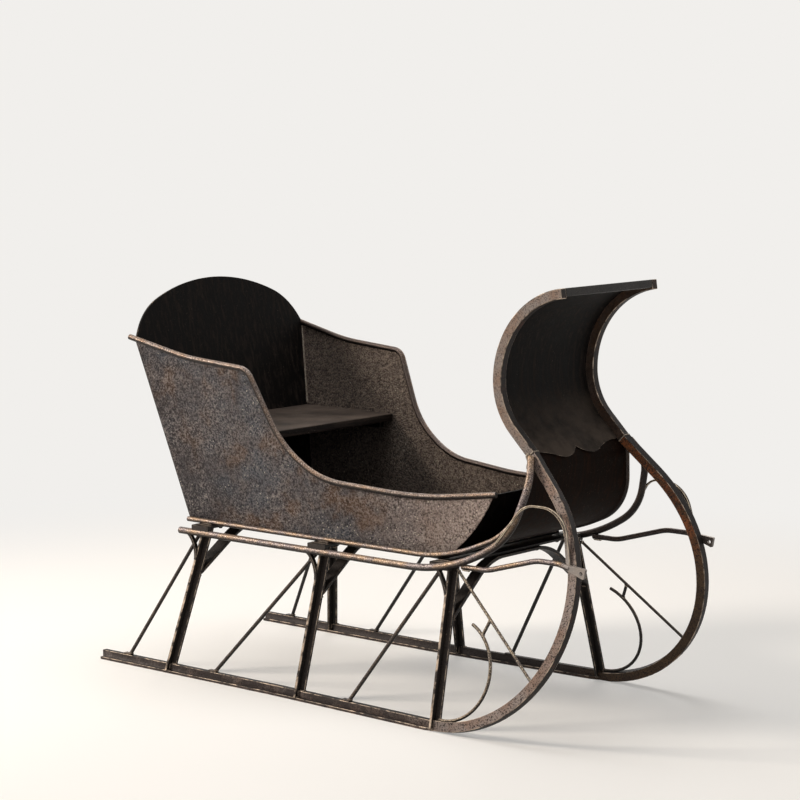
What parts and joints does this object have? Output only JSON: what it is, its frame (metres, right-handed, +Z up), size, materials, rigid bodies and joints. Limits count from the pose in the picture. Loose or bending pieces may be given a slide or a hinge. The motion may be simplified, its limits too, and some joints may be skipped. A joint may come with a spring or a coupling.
{
  "type": "decorative horse sleigh",
  "caption": "Display horse sleigh in dark iron: flared tub with seat, curled dash, and runners swept up on T-iron posts.",
  "frame": {"origin": "bottom centre of the bounding box, on the floor under the sleigh", "axes": "+X forward to the dash, +Y to the sleigh's left, +Z up"},
  "size_m": [0.9521, 0.4412, 0.6515],
  "materials": {
    "patina_sheet": "grainy brown-grey patina",
    "black_sheet": "satin black",
    "worn_rod": "worn bronze-brown iron",
    "black_bar": "dark pitted iron with rust"
  },
  "bodies": {
    "root": {"back_panel": "black_sheet", "bow_brace_front": "black_bar", "bow_brace_mid": "black_bar", "bow_brace_rear": "black_bar", "cross_beam_front": "black_bar", "cross_beam_mid": "black_bar", "cross_beam_rear": "black_bar", "dash_lip": "black_bar", "dash_lower_sheet": "black_sheet", "dash_rail_left": "black_bar", "dash_rail_right": "black_bar", "dash_sheet": "black_sheet", "fender_loop_left": "worn_rod", "fender_loop_right": "worn_rod", "post_front_left": "black_bar", "post_front_right": "black_bar", "post_mid_left": "black_bar", "post_mid_right": "black_bar", "post_rear_left": "black_bar", "post_rear_right": "black_bar", "rim_left": "worn_rod", "rim_right": "worn_rod", "runner_left": "black_bar", "runner_right": "black_bar", "scroll_left": "worn_rod", "scroll_right": "worn_rod", "seat_cleat_left": "black_bar", "seat_cleat_right": "black_bar", "seat_pan": "black_sheet", "shaft_iron_left": "worn_rod", "shaft_iron_right": "worn_rod", "side_left": "patina_sheet", "side_right": "patina_sheet", "sill_lower_left": "worn_rod", "sill_lower_right": "worn_rod", "sill_upper_left": "worn_rod", "sill_upper_right": "worn_rod", "stay_front_left": "worn_rod", "stay_front_right": "worn_rod", "stay_rear_left": "black_bar", "stay_rear_right": "black_bar", "stay_second_left": "black_bar", "stay_second_right": "black_bar", "stay_third_left": "black_bar", "stay_third_right": "black_bar", "toe_board": "black_sheet", "tub_floor": "black_sheet"}
  },
  "joints": []
}
